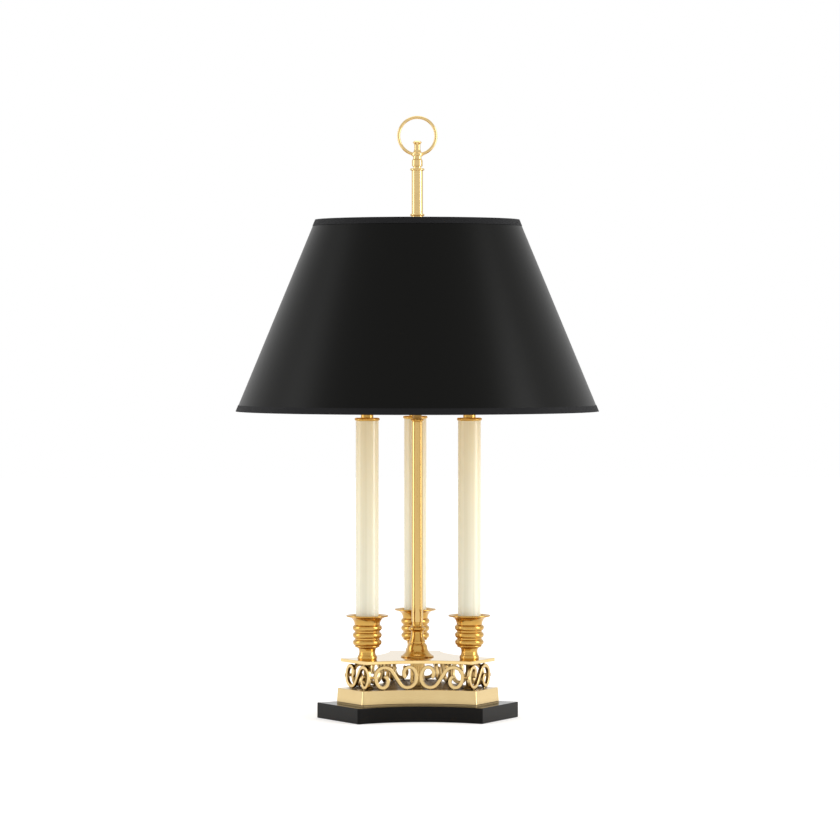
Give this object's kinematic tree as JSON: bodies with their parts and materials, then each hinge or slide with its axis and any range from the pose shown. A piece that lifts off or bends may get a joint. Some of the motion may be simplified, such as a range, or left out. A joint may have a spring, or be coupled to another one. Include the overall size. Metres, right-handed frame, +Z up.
{
  "type": "bouillotte lamp",
  "caption": "Table lamp with ivory candle sleeves round a brass column, a black conical shade and a pierced scroll base on a black block.",
  "frame": {"origin": "on the table, on the axis of the column", "axes": "+Z up, the front of the lamp faces -Y, +X is its right as seen from the front"},
  "size_m": [0.4063, 0.4064, 0.6717],
  "materials": {
    "black_lacquered_wood": "satin black lacquer",
    "black_felt": "felt",
    "black_rubber": "moulded",
    "satin_brass": "brushed and lacquered",
    "mirror_brass": "mirror polish",
    "cast_brass": "cast and polished",
    "tube_brass": "drawn and polished",
    "turned_brass": "turned and polished",
    "plated_steel": "brass plated",
    "socket_brass": "spun",
    "bulb_metal": "threaded sheet",
    "black_phenolic": "moulded phenolic",
    "bulb_stem": "clear",
    "bulb_glass": "frosted inside",
    "black_card": "satin black paper outside, gold foil inside",
    "black_cloth_tape": "woven cotton tape",
    "painted_wire": "black paint",
    "spider_brass": "brass plated wire",
    "gold_lead": "extruded sheath",
    "connector_plastic": "moulded nylon",
    "ivory_sleeve": "smooth ivory tube"
  },
  "bodies": {
    "lamp": {"base_block": "black_lacquered_wood", "base_felt": "black_felt", "base_nut": "plated_steel", "base_tray": "satin_brass", "base_washer": "plated_steel", "bulb_bases": "bulb_metal", "bulb_filaments": "bulb_stem", "bulb_glass_back": "bulb_glass", "bulb_glass_left": "bulb_glass", "bulb_glass_right": "bulb_glass", "candle_cap_back": "turned_brass", "candle_cap_left": "turned_brass", "candle_cap_right": "turned_brass", "candle_cup_back": "turned_brass", "candle_cup_left": "turned_brass", "candle_cup_right": "turned_brass", "candle_pipes": "plated_steel", "candle_sleeve_back": "ivory_sleeve", "candle_sleeve_left": "ivory_sleeve", "candle_sleeve_right": "ivory_sleeve", "centre_rod": "plated_steel", "centre_spacer": "tube_brass", "column_bell": "turned_brass", "column_collar": "turned_brass", "column_neck": "turned_brass", "column_tube": "tube_brass", "cord_grommet": "black_rubber", "gallery_scroll_back": "cast_brass", "gallery_scroll_left": "cast_brass", "gallery_scroll_right": "cast_brass", "gallery_scrolls_back_left": "cast_brass", "gallery_scrolls_back_right": "cast_brass", "gallery_scrolls_front": "cast_brass", "gallery_ties": "cast_brass", "pipe_nuts": "plated_steel", "riser_collar_high": "turned_brass", "riser_collar_low": "turned_brass", "riser_tube": "tube_brass", "shade_seat": "plated_steel", "socket_caps": "socket_brass", "socket_cores": "black_phenolic", "socket_leads": "gold_lead", "socket_shell_back": "socket_brass", "socket_shell_left": "socket_brass", "socket_shell_right": "socket_brass", "top_plate": "mirror_brass", "tray_foot": "satin_brass", "wire_connectors": "connector_plastic"},
    "shade": {"shade_panel": "black_card", "shade_tape_bottom": "black_cloth_tape", "shade_tape_top": "black_cloth_tape", "shade_wire_bottom": "painted_wire", "shade_wire_top": "painted_wire", "shade_spider": "spider_brass"},
    "finial_carrier": {"finial_washer": "turned_brass"},
    "finial": {"finial_body": "turned_brass", "finial_ring": "turned_brass"},
    "knob_left": {"socket_knob_left": "black_phenolic"},
    "knob_right": {"socket_knob_right": "black_phenolic"},
    "knob_back": {"socket_knob_back": "black_phenolic"}
  },
  "joints": [
    {"name": "shade_turn", "type": "hinge", "parent": "lamp", "child": "shade", "pos_m": [0, 0, 0.5558], "axis": [0, 0, 1], "continuous": true},
    {"name": "finial_lift", "type": "slide", "parent": "lamp", "child": "finial_carrier", "axis": [0, 0, 1], "range_m": [0, 0.00659]},
    {"name": "finial_turn", "type": "hinge", "parent": "finial_carrier", "child": "finial", "pos_m": [0, 0, 0.6138], "axis": [0, 0, 1], "range_deg": [0, 2520]},
    {"name": "knob_turn_left", "type": "hinge", "parent": "lamp", "child": "knob_left", "pos_m": [-0.05681, -0.0328, 0.36775], "axis": [-0.866, -0.5, 0], "continuous": true},
    {"name": "knob_turn_right", "type": "hinge", "parent": "lamp", "child": "knob_right", "pos_m": [0.05681, -0.0328, 0.36775], "axis": [0.866, -0.5, 0], "continuous": true},
    {"name": "knob_turn_back", "type": "hinge", "parent": "lamp", "child": "knob_back", "pos_m": [0, 0.0656, 0.36775], "axis": [0, 1, 0], "continuous": true}
  ],
  "couplings": [
    {"joint": "finial_lift", "follows": "finial_turn", "m_per_rad": 0.00014972}
  ]
}
